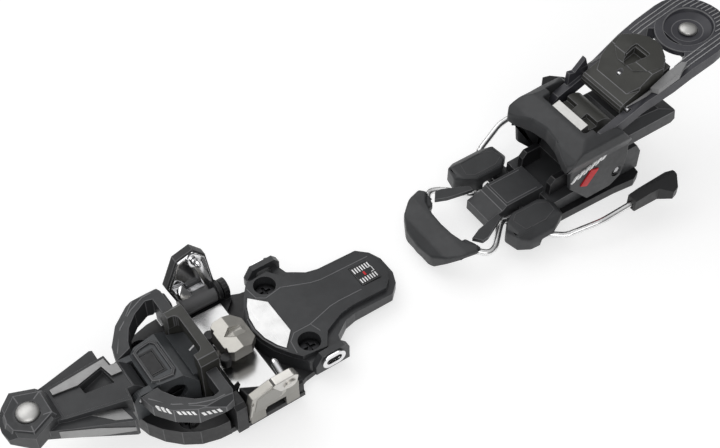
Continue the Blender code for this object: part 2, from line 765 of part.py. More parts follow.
def brake_tip(side):
    """The moulded foot at a brake arm's end, with its outward claw."""
    plan = [
        (-233, 45.3), (-233, 52), (-250, 52.5), (-256, 58.5), (-260.5, 57), (-266, 50), (-266.5, 46),
        (-262, 44.3),
    ]
    front = [(44, 17.5), (44, 24.5), (48, 26), (59, 24), (59, 18.5), (50, 15.5)]
    side_view = [(-232, 15.8), (-232, 24), (-250, 26), (-267, 26), (-267, 20), (-250, 15.5)]
    tip = faceted("tip", sided(plan, side), side_view, front=seen_from_front(front, side))
    start, end = brake_wire_route(side)[-2:]
    past = Vector(end) + (Vector(end) - Vector(start)).normalized() * GAP
    return cut(tip, rod("wire bore", start, past, WIRE_RADIUS + GAP))


def brake_link(side):
    """The flat stiffener that ties the pedal to its wire."""
    plan = [(-142, 17.5), (-146, 22.5), (-150, 22), (-165, 14.6), (-165, 11.2), (-149, 14.5)]
    return outline("link", sided(plan, side), 17.2, 20)


def brake_plate():
    """The curved pedal in front of the heel."""
    plan = mirrored([
        (-117, 0), (-118, 12), (-122, 20), (-129, 25.5), (-138, 28), (-141, 24.5), (-136, 18),
        (-134, 9), (-133.5, 0),
    ])
    side = [(-114, 6), (-116, 12), (-122, 18), (-131, 21.5), (-142, 22), (-142, 19), (-130, 17.5),
            (-122, 12), (-119, 6)]
    pedal = faceted("brake_plate", plan, side)
    boss = [(-134, 15), (-134, 20), (-140.5, 25), (-142, 22), (-139, 15)]
    bosses = [outline("boss", sided(boss, side), 15, 19.5) for side in SIDES.values()]
    return cut(
        join(pedal, *bosses),
        *[rod("wire bore", route[0], route[1], WIRE_RADIUS + GAP)
          for route in (brake_wire_route(side) for side in SIDES.values())],
    )


def build_heel_slide(heel):
    slide = joint("heel_length_axis", (-230, 0, TRACK_TOP), heel)
    finish(heel_carriage(), "graphite plastic", slide)
    finish(spring_housing(), "graphite plastic", slide)
    z = SPRING_AXIS_HEIGHT
    finish(coil("heel_spring", (-254, 0, z), (-282, 0, z), 5.6, 1.2, 6), "spring steel", slide)
    head = [(0, 6), (5.8, 6), (6.6, 5.2), (6.6, 0), (0, 0)]
    screw = turned("heel_release_screw", head, (-285, 0, z), (-1, 0, 0))
    cut(screw, outline("slot", box_outline(-5, z - 0.8, 5, z + 0.8), -295, -289.4, "YZ"))
    finish(screw, "black steel", slide)
    shaft = [(0, 26), (2.7, 26), (3.2, 25.4), (3.2, 0), (0, 0)]
    screw = turned("length_screw", shaft, (-241, 13, 13), (-1, 0, 0))
    cut(screw, outline("slot", box_outline(10.4, 12.5, 15.6, 13.5), -275, -265.4, "YZ"))
    finish(screw, "spring steel", slide)
    for name, side in SIDES.items():
        pad = heel_pad(side)
        pad.name = f"heel_pad_{name}"
        finish(pad, "graphite plastic", slide)
        rail = power_rail(side)
        rail.name = f"power_rail_{name}"
        finish(rail, "black plastic", slide)
    x, z = JAW_HINGE
    jaw_axle = rod("jaw_axle", (x, -24.2, z), (x, 24.2, z), HEEL_AXLE_RADIUS)
    finish(jaw_axle, "spring steel", slide)
    return slide


def build_brake(slide):
    axis = joint("brake_axis", (BRAKE_AXIS[0], 0, BRAKE_AXIS[1]), slide)
    finish(brake_plate(), "graphite plastic", axis)
    for name, side in SIDES.items():
        brake_wire = wire("wire", bent(brake_wire_route(side), 3.0), WIRE_RADIUS)
        for piece, made, material in (
            ("brake_wire", brake_wire, "polished steel"),
            ("brake_tip", brake_tip(side), "black plastic"),
            ("brake_link", brake_link(side), "graphite plastic"),
        ):
            made.name = f"{piece}_{name}"
            finish(made, material, axis)


# Heel unit: jaw, lever and climbing aid


def heel_jaw():
    """The hood that holds the boot's heel down, with its two side walls."""
    plan = mirrored([
        (-206, 0), (-204.5, 10), (-200.5, 20), (-199, 26), (-203, 30), (-251, 30), (-251, 0),
    ])
    side = [
        (-199, 44), (-199, 50), (-204, 55), (-214, 60), (-228, 61), (-238, 58), (-248, 46),
        (-250, 30), (-247, 14), (-240, 9), (-222, 9), (-206.5, 26), (-204, 44),
    ]
    front = mirrored_front([(25, 8), (25, 40), (29.5, 51), (28, 57), (20, 61.5), (0, 61.5)])
    mouth = [(-190, 0), (-190, 42.5), (-212, 46), (-216.5, 42), (-217, 31), (-230, 31), (-230, 0)]
    jaw = faceted("heel_jaw", plan, side, front=front)
    lever_x, lever_z = LEVER_AXIS
    return cut(
        jaw,
        outline("mouth", mouth, -21.5, 21.5, "XZ"),
        outline("well", box_outline(-260, -JAW_INNER, -223.3, JAW_INNER), 0, 70),
        outline("front well", box_outline(-228, -18, -217.6, 18), 0, 70),
        cross_bore(JAW_HINGE, HEEL_AXLE_RADIUS + GAP),
        rod("lever bore", (lever_x, -25.4, lever_z), (lever_x, 25.4, lever_z),
            HEEL_AXLE_RADIUS + GAP),
    )


def cam_block():
    """The rounded block behind the roller, grooved on each side of its tongue."""
    centre = (-234.5, 46)
    profile = [(-226.8, 40)] + arc(centre, 10.8, 42, 150, 10) + [(-239.5, 43.8)]
    cam = outline("cam_block", profile, -13, 13, "XZ")
    step = box_outline(-232, 53.2, -222, 60)
    grooves = [
        outline("groove", step, *sorted((4.2 * side, 13.5 * side)), "XZ") for side in SIDES.values()
    ]
    return cut(cam, *grooves, cross_bore(LEVER_AXIS, HEEL_AXLE_RADIUS + GAP))


def lever_profile():
    top = [(-225, 50), (-229, 54), (-240, 58), (-262, 66), (-290, 76.5), (-316, 82.5), (-332, 83)]
    bottom = [(-332, 76), (-316, 75), (-290, 68), (-262, 58), (-240, 49.5), (-232, 42.5), (-226, 44)]
    return top + bottom


def heel_lever():
    """Two rails that meet in a ring-shaped end with a dish for the thumb."""
    ring = arc((LEVER_END_CENTRE, 0), LEVER_END_RADIUS, 90, 270, 16)
    outer = ([(-224, -RAIL_OUTER), (-224, RAIL_OUTER), (-258, RAIL_OUTER), (-278, 24.6)] + ring
             + [(-278, -24.6), (-258, -RAIL_OUTER)])
    lever = faceted("heel_lever", outer, lever_profile())
    fin = outline(
        "fin", [(-237, 50), (-237.5, 66), (-241.5, 65), (-249, 72.5), (-252, 64), (-252, 56)],
        -RAIL_OUTER, -RAIL_OUTER + 3, "XZ",
    )
    join(lever, fin)
    riser_x, riser_z = RISER_AXIS
    inner = mirrored([
        (-220, 0), (-220, RAIL_INNER), (-282, RAIL_INNER), (-292, 15), (-297, 10), (-297, 0),
    ])
    bowl = [(0, 14), (19, 14), (16.5, 5.5), (9, 3.2), (0, 2.6)]
    dish = turned("dish", bowl, (-309, 0, 74.6), (0.12, 0, 1), 32)
    return cut(
        lever,
        outline("window", inner, 30, 100),
        dish,
        rod("button seat", (-309, 0, 77.5), (-309, 0, 90), 5.8, segments=32),
        cross_bore(LEVER_AXIS, HEEL_AXLE_RADIUS + GAP),
        rod("riser bore", (riser_x, -19.6, riser_z), (riser_x, 19.6, riser_z),
            RISER_AXLE_RADIUS + GAP),
    )


def riser_flap():
    """The light flap on the left rail, beside the climbing aid."""
    plan = [(-264, 18.6), (-266, 23.5), (-280, 24.5), (-288, 21), (-286, 18.6)]
    side = [(-262, 66.5), (-289, 76.5), (-289, 79.5), (-276, 77), (-262, 69.5)]
    return faceted("riser_flap", plan, side)


def climbing_aid():
    """The faceted block that folds forward under the boot's heel."""
    head_plan = mirrored([
        (-251.5, 0), (-251.5, 12), (-258, 16.5), (-273, 18), (-280, 12), (-283, 5), (-283, 0),
    ])
    head_side = [(-251.5, 62), (-251.5, 66.5), (-257, 71.5), (-265, 79), (-276, 80.5), (-283, 77.5),
                 (-283, 75.6), (-262, 67.2)]
    core = outline(
        "core", arc(RISER_AXIS, 4.6, 60, -90, 6) + [(-262, 59), (-280, 67), (-280, 77), (-257, 69)],
        -16.5, 16.5, "XZ",
    )
    head = join(faceted("climbing_aid", head_plan, head_side), core)
    recess = [(-262, 3), (-258.5, 0), (-262, -3), (-272, -5), (-272, 5)]
    return cut(
        head,
        outline("recess", recess, 75.4, 90),
        cross_bore(RISER_AXIS, RISER_AXLE_RADIUS + GAP),
        rod("rivet seat", (RIVET[0], 0, RIVET[1]), (RIVET[0], 0, 80), 1.7),
    )


def build_jaw(slide):
    x, z = JAW_HINGE
    jaw_axis = joint("jaw_axis", (x, 0, z), slide)
    finish(heel_jaw(), "graphite plastic", jaw_axis)
    finish(cam_block(), "olive plastic", jaw_axis)
    roller = outline(
        "heel_roller", [(-217.9, 50.5), (-218.4, 55.5), (-225.4, 57.6), (-226.4, 51)],
        -12.5, 12.5, "XZ",
    )
    finish(roller, "brushed metal", jaw_axis)
    x, z = LEVER_AXIS
    lever_axle = rod("heel_lever_axle", (x, -25.1, z), (x, 25.1, z), HEEL_AXLE_RADIUS)
    finish(lever_axle, "spring steel", jaw_axis)
    return jaw_axis


def build_heel_lever(jaw_axis):
    x, z = LEVER_AXIS
    axis = joint("heel_lever_axis", (x, 0, z), jaw_axis)
    finish(heel_lever(), "bluish plastic", axis)
    finish(dome("heel_lever_button", 5.4, 2.0, (-309, 0, 77.8)), "polished steel", axis)
    finish(riser_flap(), "light grey plastic", axis)
    x, z = RISER_AXIS
    riser_axle = rod("climbing_aid_axle", (x, -19.3, z), (x, 19.3, z), RISER_AXLE_RADIUS)
    finish(riser_axle, "spring steel", axis)
    riser = joint("climbing_aid_axis", (x, 0, z), axis)
    finish(climbing_aid(), "olive plastic", riser)
    finish(dome("climbing_aid_rivet", 1.4, 0.6, (RIVET[0], 0, RIVET[1] + GAP)), "polished steel", riser)


def build():
    toe = joint("toe_unit", (0, 0, 0))
    build_toe_fixed()
    build_front_lever(toe)
    build_toe_slide(toe)
    heel = joint("heel_mount_axis", (-220, 0, 0), toe)
    finish(heel_base(), "black plastic", heel)
    slide = build_heel_slide(heel)
    build_brake(slide)
    build_heel_lever(build_jaw(slide))


build()
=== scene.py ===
"""The looks of an alpine touring pin binding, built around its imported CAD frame.

Lengths are in millimetres up to the studio, in the frame's own axes: X to the ski's tip, Y to its
left edge and Z up. The helpers turn them into metres.
"""

import math

import bmesh
import bpy
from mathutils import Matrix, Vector


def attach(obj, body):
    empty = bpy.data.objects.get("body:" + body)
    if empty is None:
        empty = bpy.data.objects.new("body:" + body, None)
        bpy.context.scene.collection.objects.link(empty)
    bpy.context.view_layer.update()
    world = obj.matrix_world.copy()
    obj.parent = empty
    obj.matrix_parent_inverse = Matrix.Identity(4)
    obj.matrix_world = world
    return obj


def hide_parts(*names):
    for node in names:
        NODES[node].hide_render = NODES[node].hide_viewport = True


MM = 0.001

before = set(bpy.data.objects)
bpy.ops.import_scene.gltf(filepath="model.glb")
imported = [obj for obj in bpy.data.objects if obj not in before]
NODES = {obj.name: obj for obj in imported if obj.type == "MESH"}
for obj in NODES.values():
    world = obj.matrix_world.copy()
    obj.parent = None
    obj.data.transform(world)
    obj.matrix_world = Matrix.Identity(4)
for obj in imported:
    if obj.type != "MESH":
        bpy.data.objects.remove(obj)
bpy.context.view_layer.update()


# Materials

NOISE_LOW, NOISE_HIGH = 0.3, 0.7  # the middle range that a noise texture's values mostly keep to


class Graph:
    """A short way to write a material's nodes."""

    def __init__(self, name):
        self.material = bpy.data.materials.new(name)
        self.material.use_nodes = True
        self.tree = self.material.node_tree
        self.shader = self.tree.nodes["Principled BSDF"]
        self.place = self.add("ShaderNodeTexCoord").outputs["Object"]

    def add(self, kind, **settings):
        node = self.tree.nodes.new(kind)
        for key, value in settings.items():
            setattr(node, key, value)
        return node

    def link(self, start, end):
        self.tree.links.new(start, end)

    def noise(self, size, detail, stretch=(1, 1, 1)):
        """Noise with features of about this many millimetres, drawn out along an axis."""
        mapping = self.add("ShaderNodeMapping")
        mapping.inputs["Scale"].default_value = stretch
        self.link(self.place, mapping.inputs["Vector"])
        noise = self.add("ShaderNodeTexNoise")
        noise.inputs["Scale"].default_value = 1 / (size * MM)
        noise.inputs["Detail"].default_value = detail
        self.link(mapping.outputs["Vector"], noise.inputs["Vector"])
        return noise.outputs["Fac"]

    def spread(self, source, low, high, start=NOISE_LOW, end=NOISE_HIGH):
        """The source's values from start to end, mapped onto low to high."""
        node = self.add("ShaderNodeMapRange")
        node.inputs["From Min"].default_value = start
        node.inputs["From Max"].default_value = end
        node.inputs["To Min"].default_value = low
        node.inputs["To Max"].default_value = high
        self.link(source, node.inputs["Value"])
        return node.outputs["Result"]

    def shade(self, source, dark, light):
        """A colour between two, by the source."""
        ramp = self.add("ShaderNodeValToRGB")
        ramp.color_ramp.elements[0].position = NOISE_LOW
        ramp.color_ramp.elements[0].color = (*dark, 1)
        ramp.color_ramp.elements[1].position = NOISE_HIGH
        ramp.color_ramp.elements[1].color = (*light, 1)
        self.link(source, ramp.inputs["Fac"])
        return ramp.outputs["Color"]

    def bump(self, height, strength, distance):
        node = self.add("ShaderNodeBump")
        node.inputs["Strength"].default_value = strength
        node.inputs["Distance"].default_value = distance * MM
        self.link(height, node.inputs["Height"])
        self.link(node.outputs["Normal"], self.shader.inputs["Normal"])

    def total(self, first, second, share):
        """first plus a share of second."""
        node = self.add("ShaderNodeMath", operation="MULTIPLY_ADD")
        node.inputs[1].default_value = share
        self.link(second, node.inputs[0])
        self.link(first, node.inputs[2])
        return node.outputs[0]


def tinted(colour, factor):
    return tuple(min(1.0, channel * factor) for channel in colour)


def moulded(name, colour, roughness, grain=0.35, depth=0.04):
    """Injection-moulded plastic: a fine spark-eroded grain, slight blotches and a soft sheen."""
    graph = Graph(name)
    blotch = graph.noise(size=14, detail=4)
    fine = graph.noise(size=grain, detail=2)
    scuff = graph.noise(size=3, detail=5)
    mottle = graph.total(blotch, fine, share=0.2)
    tone = graph.shade(mottle, dark=tinted(colour, 0.85), light=tinted(colour, 1.2))
    graph.link(tone, graph.shader.inputs["Base Color"])
    gloss = graph.spread(scuff, low=roughness - 0.05, high=roughness + 0.07)
    graph.link(gloss, graph.shader.inputs["Roughness"])
    graph.bump(fine, strength=0.3, distance=depth)
    graph.shader.inputs["Specular IOR Level"].default_value = 0.4
    return graph.material


def metal(name, colour, roughness, brush=(1, 1, 1), size=0.25, strength=0.15, blotches=0.08):
    """Metal with brushed or cast grain drawn out along the axis whose stretch is lowest."""
    graph = Graph(name)
    lines = graph.noise(size, detail=3, stretch=brush)
    cloud = graph.noise(size=9, detail=4)
    mottle = graph.total(cloud, lines, share=0.25)
    tone = graph.shade(
        mottle, dark=tinted(colour, 1 - blotches * 1.5), light=tinted(colour, 1 + blotches)
    )
    graph.link(tone, graph.shader.inputs["Base Color"])
    wear = graph.total(lines, cloud, share=0.5)
    gloss = graph.spread(wear, low=roughness * 0.75, high=roughness * 1.3, start=0.4, end=1.1)
    graph.link(gloss, graph.shader.inputs["Roughness"])
    graph.bump(lines, strength, distance=0.03)
    graph.shader.inputs["Metallic"].default_value = 1.0
    return graph.material


MATERIALS = {
    "graphite": moulded("graphite", (0.036, 0.037, 0.039), 0.42),
    "slate": moulded("slate", (0.052, 0.056, 0.060), 0.42),
    "black": moulded("black", (0.011, 0.011, 0.012), 0.40),
    "dark": moulded("dark", (0.020, 0.020, 0.021), 0.42),
    "olive": moulded("olive", (0.034, 0.034, 0.030), 0.42),
    "bluish": moulded("bluish", (0.036, 0.036, 0.043), 0.36),
    "light": moulded("light", (0.23, 0.23, 0.232), 0.42),
    "composite": moulded("composite", (0.030, 0.031, 0.033), 0.36, 0.5, 0.05),
    # edge and edge_dark are lighter tones of the plastics, painted highlights for bevels and raised
    # lines
    "edge": moulded("edge", (0.125, 0.125, 0.13), 0.32),
    "edge_dark": moulded("edge_dark", (0.07, 0.07, 0.072), 0.32),
    "pewter": moulded("pewter", (0.10, 0.10, 0.102), 0.34),
    # rib: a light grey for the heel lever's grip ribs, a painted highlight on their crests
    "rib": moulded("rib", (0.34, 0.34, 0.345), 0.35),
    "white_print": moulded("white_print", (0.86, 0.86, 0.86), 0.45, 0.2, 0.01),
    "red_print": moulded("red_print", (0.55, 0.015, 0.02), 0.45, 0.2, 0.01),
    "cast": metal("cast", (0.47, 0.457, 0.425), 0.40, size=0.5, strength=0.2),
    # Lighter and darker copies of the cast alloy: painted highlight and painted shade on the near
    # arm's blocks
    "cast_painted_highlight": metal("cast_painted_highlight", (0.62, 0.605, 0.575), 0.34, size=0.6, strength=0.2),
    "cast_painted_shade": metal("cast_painted_shade", (0.30, 0.292, 0.272), 0.42, size=0.5, strength=0.2),
    "chrome": metal("chrome", (0.80, 0.80, 0.81), 0.12, size=8.0, strength=0.01),
    "plate": metal("plate", (0.54, 0.54, 0.54), 0.22, (1, 0.1, 1), 0.4, 0.05, 0.03),
    "wire": metal("wire", (0.80, 0.80, 0.80), 0.24, size=1.0, strength=0.03),
    "steel": metal("steel", (0.50, 0.50, 0.51), 0.25, (0.1, 1, 1)),
    "black_steel": metal("black_steel", (0.03, 0.03, 0.032), 0.35),
    "inlay": metal("inlay", (0.30, 0.30, 0.30), 0.42, (0.08, 1, 1), 0.35, 0.35, 0.15),
    "brushed": metal("brushed", (0.62, 0.62, 0.62), 0.30, (1, 0.04, 1), 0.5, 0.3, 0.12),
    "satin": metal("satin", (0.58, 0.575, 0.56), 0.45, (1, 0.08, 1), 0.4, 0.15),
}

FACET, ROUND, END_CAP = 12, 35, 60  # degrees: the least fold that is bevelled
FINISHES = {
    "graphite": (
        "guard_loop_left guard_loop_right front_lever heel_carriage heel_pad_left"
        " heel_pad_right spring_housing brake_plate brake_link_left brake_link_right heel_jaw"
    ),
    "slate": "toe_housing",
    "black": "toe_scale slide_carrier heel_base power_rail_left power_rail_right mode_window"
             " brake_tip_left brake_tip_right",
    "dark": "toe_base",
    "olive": "toe_bridge cam_block climbing_aid",
    "bluish": "heel_lever",
    "light": "riser_flap",
    "composite": "toe_rear_plate",
    "cast": "arm_left arm_right trigger",
    "plate": "slide_plate",
    "chrome": "toe_pin_left toe_pin_right lug_eyelet_left lug_eyelet_right climbing_aid_rivet",
    "wire": "brake_wire_left brake_wire_right",
    "satin": "lever_button heel_lever_button heel_roller",
    "steel": "toe_spring lever_axle arm_axle_left arm_axle_right heel_spring length_screw jaw_axle"
             " heel_lever_axle climbing_aid_axle",
    "black_steel": "toe_rear_screw_left toe_rear_screw_right toe_front_screw_left"
                   " toe_front_screw_right toe_release_screw heel_release_screw",
    "brushed": "toe_badge",
    "inlay": "lever_inlay",
}
# The lighter material that each plastic's bevels take, a painted highlight along its edges
EDGES = {"graphite": "edge", "slate": "edge", "black": "edge_dark", "dark": "edge_dark",
         "olive": "edge", "bluish": "edge", "composite": "edge"}
ROUND_NODES = (
    "toe_spring heel_spring brake_wire_left brake_wire_right lever_axle arm_axle_left"
    " arm_axle_right jaw_axle heel_lever_axle climbing_aid_axle toe_pin_left toe_pin_right"
    " lever_button heel_lever_button climbing_aid_rivet"
).split()

# The second slot holds a lighter material whose colour is a painted highlight along the bevelled
# edges
OWN_SLOT, HIGHLIGHT_SLOT = -1, 1  # a bevel's material: its neighbour's, or the second slot
WELD_GAP = 0.002
LEVEL_ANGLE = 0.5  # degrees: faces that turn less than this are one flat face


def soften(piece, width, limit, edge_slot, segments, clamp):
    """Welds, cleans and bevels a piece's mesh, so that its edges catch the light."""
    weld = piece.modifiers.new("Weld", "WELD")
    weld.merge_threshold = WELD_GAP * MM
    level = piece.modifiers.new("Flat", "DECIMATE")
    level.decimate_type = "DISSOLVE"
    level.angle_limit = math.radians(LEVEL_ANGLE)
    bevel = piece.modifiers.new("Edges", "BEVEL")
    bevel.width = width * MM
    bevel.segments = segments
    bevel.limit_method = "ANGLE"
    bevel.angle_limit = math.radians(limit)
    bevel.material = edge_slot
    bevel.use_clamp_overlap = clamp
    bevel.miter_outer = "MITER_ARC"
    normals = piece.modifiers.new("Normals", "WEIGHTED_NORMAL")
    normals.weight = 100
    normals.keep_sharp = False


def dress(piece, material, width=0.25, limit=FACET, segments=2, clamp=True, highlit=True):
    """Gives a piece its material, soft edges and, where highlit, a lighter material on them as a
    painted highlight along the edges.
    """
    slots = piece.data.materials
    slots.clear()
    slots.append(MATERIALS[material])
    edge = OWN_SLOT
    if highlit and material in EDGES:
        slots.append(MATERIALS[EDGES[material]])
        edge = HIGHLIGHT_SLOT
    for face in piece.data.polygons:
        face.use_smooth = True
    soften(piece, width, limit, edge, segments, clamp)


# Pieces whose bevels keep their full width: those with painted highlights on their edges, then those
# with wide smooth ones
HIGHLIT_EDGE_NODES = {
    "guard_loop_left": 0.3, "guard_loop_right": 0.3, "toe_bridge": 0.3, "heel_lever": 0.25,
    "climbing_aid": 0.25, "toe_base": 0.25, "heel_carriage": 0.25, "spring_housing": 0.3,
    "cam_block": 0.25,
}
SMOOTH_NODES = {"heel_jaw": 1.1, "heel_pad_left": 1.3, "heel_pad_right": 1.3, "brake_plate": 1.2}
SMOOTH_SEGMENTS = 4

for finish, names in FINISHES.items():
    for node_name in names.split():
        least_fold = ROUND if node_name in ROUND_NODES else FACET
        if finish == "wire":
            least_fold = END_CAP
        node = NODES[node_name]
        if node_name in HIGHLIT_EDGE_NODES:
            dress(node, finish, HIGHLIT_EDGE_NODES[node_name], least_fold, clamp=False)
        elif node_name in SMOOTH_NODES:
            dress(node, finish, SMOOTH_NODES[node_name], least_fold, SMOOTH_SEGMENTS,
                  clamp=False, highlit=False)
        else:
            dress(node, finish, limit=least_fold)


# Shapes for the added pieces

SIDES = {"left": 1, "right": -1}
UP = (0, 0, 1)
PRINT_HEIGHT = 0.12  # of a printed mark or a fine line above its surface
PRINT_EDGE = 0.03  # the bevel on it
CREASE_SINK = 0.3  # how far a fine line reaches below its surface


def add_piece(name, shape, material, body, width=0.2, limit=FACET):
    """A bmesh in millimetres as a dressed piece that rides on a body."""
    bmesh.ops.recalc_face_normals(shape, faces=shape.faces)
    bmesh.ops.scale(shape, vec=(MM, MM, MM), verts=shape.verts)
    mesh = bpy.data.meshes.new(name)
    shape.to_mesh(mesh)
    shape.free()
    piece = bpy.data.objects.new(name, mesh)
    bpy.context.scene.collection.objects.link(piece)
    dress(piece, material, width, limit)
    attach(piece, body)
    return piece


def hull(points):
    """The faceted solid round some points."""
    shape = bmesh.new()
    verts = [shape.verts.new(point) for point in points]
    result = bmesh.ops.convex_hull(shape, input=verts)
    spare = {item for item in result["geom_interior"] + result["geom_unused"]
             if isinstance(item, bmesh.types.BMVert)}
    bmesh.ops.delete(shape, geom=list(spare), context="VERTS")
    return shape


def prism(loop, other):
    """A solid between two matching loops of points."""
    shape = bmesh.new()
    first = [shape.verts.new(point) for point in loop]
    second = [shape.verts.new(point) for point in other]
    shape.faces.new(first)
    shape.faces.new(list(reversed(second)))
    for index in range(len(loop)):
        after = (index + 1) % len(loop)
        shape.faces.new((first[index], second[index], second[after], first[after]))
    return shape


def frame_ring(outer, inner, far_outer, far_inner):
    """A closed frame between an outer and an inner loop, and their matches on the far face."""
    shape = bmesh.new()
    loops = [[shape.verts.new(point) for point in loop]
             for loop in (outer, inner, far_inner, far_outer)]
    for near, far in zip(loops, loops[1:] + loops[:1]):
        for index in range(len(near)):
            after = (index + 1) % len(near)
            shape.faces.new((near[index], near[after], far[after], far[index]))
    return shape


def ring(shape, turn, foot, radius, height, steps):
    """The points of one ring about an axis, or the single point where the radius is 0."""
    if radius == 0:
        return [shape.verts.new(foot + turn @ Vector((0, 0, height)))]
    points = []
    for step in range(steps):
        angle = 2 * math.pi * step / steps
        spoke = Vector((radius * math.cos(angle), radius * math.sin(angle), height))
        points.append(shape.verts.new(foot + turn @ spoke))
    return points


def turned(profile, foot, direction, steps, closed):
    """A profile of (radius, height) pairs turned about an axis; closed joins its two ends."""
    shape = bmesh.new()
    turn = Vector(direction).to_track_quat("Z", "Y").to_matrix()
    rings = [ring(shape, turn, Vector(foot), radius, height, steps) for radius, height in profile]
    following = rings[1:] + rings[:1] if closed else rings[1:]
    for near, far in zip(rings, following):
        for step in range(steps):
            after = (step + 1) % steps
            corners = [near[step % len(near)], near[after % len(near)],
                       far[after % len(far)], far[step % len(far)]]
            shape.faces.new(list(dict.fromkeys(corners)))
    return shape


def lathe(profile, foot, direction, steps):
    """A solid of revolution, whose profile starts and ends on the axis."""
    return turned(profile, foot, direction, steps, closed=False)


def collar(inner, outer, low, high, foot, direction, chamfer=0.4, steps=40):
    """A hollow ring or sleeve about an axis."""
    section = [
        (inner, low), (outer - chamfer, low), (outer, low + chamfer), (outer, high - chamfer),
        (outer - chamfer, high), (inner, high),
    ]
    return turned(section, foot, direction, steps, closed=True)


def inset(loop, distance):
    """A closed flat outline moved to the left of its path, so inwards if it runs anticlockwise."""
    least_cosine = 0.35  # keeps a sharp corner from moving too far
    moved = []
    for index, corner in enumerate(loop):
        before, after = loop[index - 1], loop[(index + 1) % len(loop)]
        way_in = Vector((corner[0] - before[0], corner[1] - before[1])).normalized()
        way_out = Vector((after[0] - corner[0], after[1] - corner[1])).normalized()
        normal_in = Vector((-way_in.y, way_in.x))
        normal_out = Vector((-way_out.y, way_out.x))
        middle = (normal_in + normal_out).normalized()
        reach = distance / max(least_cosine, middle.dot(normal_in))
        moved.append((corner[0] + middle.x * reach, corner[1] + middle.y * reach))
    return moved


def flat(loop, level):
    """An outline from above, at a height; level may be a function of x and y."""
    return [(x, y, level(x, y) if callable(level) else level) for x, y in loop]


def ribbon(points, normal, width):
    """The outline of a narrow strip along a route that lies in a plane."""
    normal = Vector(normal).normalized()
    points = [Vector(point) for point in points]
    left, right = [], []
    for index, point in enumerate(points):
        before = points[max(0, index - 1)]
        after = points[min(len(points) - 1, index + 1)]
        across = (after - before).cross(normal).normalized() * width / 2
        left.append(point + across)
        right.append(point - across)
    return left + right[::-1]


def crease(name, points, normal, body, material="edge", width=0.5):
    """A fine raised line along a route, by default in the edge material, a painted highlight."""
    decal(name, ribbon(points, normal, width), normal, material, body, CREASE_SINK)


def rows(corners, count, width):
    """count slanted strips, spread over the four corners of a patch, as loops of four points."""
    start_low, end_low, end_high, start_high = [Vector(corner) for corner in corners]
    strips = []
    for index in range(count):
        near = index / count
        far = near + width / count
        strips.append([
            start_low.lerp(end_low, near), start_low.lerp(end_low, far),
            start_high.lerp(end_high, far), start_high.lerp(end_high, near),
        ])
    return strips


def lifted(loop, normal, height):
    """A loop of points moved along a direction."""
    return [Vector(point) + Vector(normal).normalized() * height for point in loop]


def decal(name, loop, normal, material, body, sink=0.1):
    """A thin printed patch that stands a hair proud of its surface."""
    shape = prism(lifted(loop, normal, -sink), lifted(loop, normal, PRINT_HEIGHT))
    return add_piece(name, shape, material, body, PRINT_EDGE)


# Toe unit details

ARM_FACE_Y, ARM_FACE_Z = 46.6, 26  # a point of the arm's outer face
ARM_LEAN = 0.25  # how far that face runs outwards for each millimetre up
AXLE_Y, AXLE_Z = 37, 12.5  # the arms' hinges, which run along X
PIN_TILT = (0.951, 0.309)  # the open far pin's direction, inwards and up


def arm_place(side, x, z, depth):
    """A point of a leaning toe arm: depth is measured inwards from its outer face."""
    return (x, (ARM_FACE_Y + (z - ARM_FACE_Z) * ARM_LEAN - depth) * side, z)


def arm_loop(side, loop, depth):
    return [arm_place(side, x, z, depth) for x, z in loop]


def far_arm():
    """The right arm: a thin black shell, a polished inner frame with a rib, and its barrel."""
    side, body = -1, "arm_right"
    rim = [(14, 13), (18.6, 26.5), (9.5, 40.2), (-1.5, 42.6), (-7.8, 36), (-8.4, 22), (-9, 13)]
    lining, backing = inset(rim, 1.1), inset(rim, 0.8)
    well, well_foot = inset(rim, 4.2), inset(rim, 2.6)
    back_depth = 1.3
    shell = frame_ring(
        arm_loop(side, rim, -0.4), arm_loop(side, lining, -0.4),
        arm_loop(side, rim, 4.2), arm_loop(side, lining, 4.6),
    )
    add_piece("far_arm_shell", shell, "black", body, 0.4)
    back = prism(arm_loop(side, backing, -0.2), arm_loop(side, backing, 1.2))
    add_piece("far_arm_back", back, "chrome", body)
    lip = frame_ring(
        arm_loop(side, lining, back_depth), arm_loop(side, well, back_depth),
        arm_loop(side, lining, 5.4), arm_loop(side, well_foot, 5.6),
    )
    add_piece("far_arm_lip", lip, "chrome", body, 0.5)
    rib = hull([
        arm_place(side, x, z, depth)
        for x, z, depth in (
            (-3.5, 39, back_depth), (3.2, 37.5, back_depth), (-3.0, 39.5, 6.6), (2.2, 38.5, 6.4),
            (-7.6, 14, back_depth), (-4.0, 14, back_depth), (-7.4, 12, 9.4), (-4.2, 12, 9.4),
            (-5.8, 24, 8.2), (-2.6, 24, 7.8),
        )
    ])
    add_piece("far_arm_rib", rib, "chrome", body, 0.6)
    lobe = hull([
        arm_place(side, x, z, depth)
        for x, z, depth in (
            (13.5, 15, back_depth), (15.5, 23, back_depth), (6, 15, back_depth), (6, 22, back_depth),
            (13, 15, 8.2), (13.5, 21, 6.4), (6, 15, 8.6), (6.5, 19, 6.8), (10, 25, 4.6),
        )
    ])
    add_piece("far_arm_lobe", lobe, "chrome", body, 0.9)
    pin_foot = (0, -50.5, 35.3)
    boss = collar(2.35, 4.1, 4.0, 8.6, pin_foot, (0, *PIN_TILT))
    add_piece("far_arm_boss", boss, "chrome", body, 0.1)
    axle, along, bore = (0, -AXLE_Y, AXLE_Z), (1, 0, 0), 2.4
    barrel = collar(bore, 5.5, -6.4, 14.6, axle, along, 0.7)
    add_piece("far_arm_barrel", barrel, "pewter", body, 0.1, ROUND)
    washer = collar(bore, 6.0, -9.6, -6.6, axle, along, 0.6)
    add_piece("far_arm_washer", washer, "black", body, 0.1, ROUND)
    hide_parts("arm_right")


